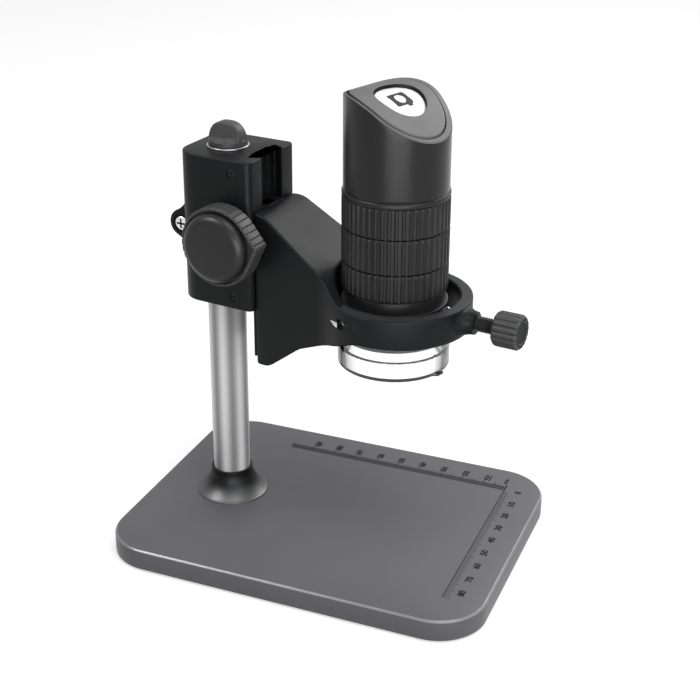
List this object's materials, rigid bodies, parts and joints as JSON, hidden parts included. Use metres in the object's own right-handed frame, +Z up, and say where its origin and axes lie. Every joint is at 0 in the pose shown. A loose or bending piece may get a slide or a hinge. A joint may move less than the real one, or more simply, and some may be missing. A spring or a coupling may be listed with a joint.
{
  "type": "usb digital microscope on a bench stand",
  "caption": "Ribbed camera barrel with a clear tip and a top button, held in the ring of a rack-driven arm on a round column over a ruled plate.",
  "frame": {"origin": "centre of the mat's underside, where the stand rests", "axes": "+X to the right along the plate's long side, +Y to the back, +Z up along the column"},
  "size_m": [0.1608, 0.119, 0.195],
  "materials": {
    "plate": "satin dark grey coat with printed rulers",
    "rubber": "matt",
    "steel": "machined",
    "column": "satin drawn tube",
    "black_metal": "satin black coat",
    "black_plastic": "fine satin",
    "grip_plastic": "soft satin",
    "gloss_black": "polished",
    "bright": "polished",
    "bronze": "sintered",
    "cover": "satin",
    "white_plastic": "smooth, with a small camera pictogram",
    "clear": "clear acrylic",
    "board": "solder mask",
    "lamp": "clear epoxy",
    "sensor": "coated",
    "lens": "coated"
  },
  "bodies": {
    "base": {"base_plate": "plate", "base_mat": "rubber", "column_bolt": "steel", "column_foot_plug": "black_plastic", "column_tube": "column", "column_top_plug": "black_plastic", "column_collar": "black_plastic"},
    "head": {"focus_block": "black_metal", "clamp_screw": "bright", "clamp_nut": "steel", "gib_screws": "steel", "shaft_bush": "bronze", "lock_washer": "bright"},
    "lock": {"lock_knob": "black_plastic", "lock_screw": "steel"},
    "focus_drive": {"pinion_shaft": "steel", "pinion_gear": "bronze", "knob_grip": "grip_plastic", "knob_cap": "gloss_black"},
    "arm": {"arm": "black_metal", "rack": "steel", "set_screws": "steel"},
    "liner": {"ring_liner": "black_plastic"},
    "pad": {"pressure_pad": "rubber"},
    "thumb": {"thumb_screw": "steel", "thumb_knob": "black_plastic"},
    "scope": {"lower_barrel": "black_plastic", "led_board": "board", "leds": "lamp", "chassis_tube": "black_plastic", "low_grip_band": "grip_plastic", "top_grip_band": "grip_plastic", "upper_barrel": "black_plastic", "top_cover": "cover", "button_switch": "black_plastic", "button_board": "board", "main_board": "board", "image_sensor": "sensor", "lens_cell": "black_plastic", "lens": "lens", "cable_socket": "steel"},
    "focus_ring": {"focus_ring": "grip_plastic"},
    "button": {"shutter_button": "white_plastic"},
    "tip": {"clear_tip": "clear"}
  },
  "joints": [
    {"name": "head_swivel", "type": "hinge", "parent": "base", "child": "head", "pos_m": [-0.0468, 0, 0.1028], "axis": [0, 0, 1], "continuous": true},
    {"name": "lock_turn", "type": "hinge", "parent": "head", "child": "lock", "pos_m": [-0.04422, -0.00033, 0.1636], "axis": [0, 0, 1], "range_deg": [0, 270]},
    {"name": "focus_slide", "type": "slide", "parent": "head", "child": "arm", "axis": [0, 0, 1], "range_m": [-0.005, 0.04]},
    {"name": "focus_turn", "type": "hinge", "parent": "head", "child": "focus_drive", "pos_m": [-0.03232, -0.00183, 0.1324], "axis": [-0.1253, -0.9921, 0], "range_deg": [-62, 480]},
    {"name": "scope_height", "type": "slide", "parent": "arm", "child": "liner", "axis": [0, 0, 1], "range_m": [-0.004, 0.004]},
    {"name": "scope_turn", "type": "hinge", "parent": "liner", "child": "scope", "pos_m": [0.0291, -0.00959, 0.1113], "axis": [0, 0, 1], "continuous": true},
    {"name": "pad_slide", "type": "slide", "parent": "arm", "child": "pad", "axis": [0.9921, -0.1253, 0], "range_m": [0, 0.0025]},
    {"name": "thumb_turn", "type": "hinge", "parent": "pad", "child": "thumb", "pos_m": [0.06303, -0.01387, 0.1113], "axis": [0.9921, -0.1253, 0], "range_deg": [0, 905]},
    {"name": "focus_ring_turn", "type": "hinge", "parent": "scope", "child": "focus_ring", "pos_m": [0.0291, -0.00959, 0.1373], "axis": [0, 0, 1], "range_deg": [-150, 150]},
    {"name": "button_press", "type": "slide", "parent": "scope", "child": "button", "axis": [-0.3856, 0.1343, -0.9128], "range_m": [0, 0.0008], "stiffness_N_per_m": 400, "springref_m": -0.0004},
    {"name": "tip_pull", "type": "slide", "parent": "scope", "child": "tip", "axis": [0, 0, -1], "range_m": [0, 0.012]}
  ],
  "couplings": [
    {"joint": "focus_turn", "follows": "focus_slide", "rad_per_m": 208.33},
    {"joint": "thumb_turn", "follows": "pad_slide", "rad_per_m": 6283.2}
  ]
}
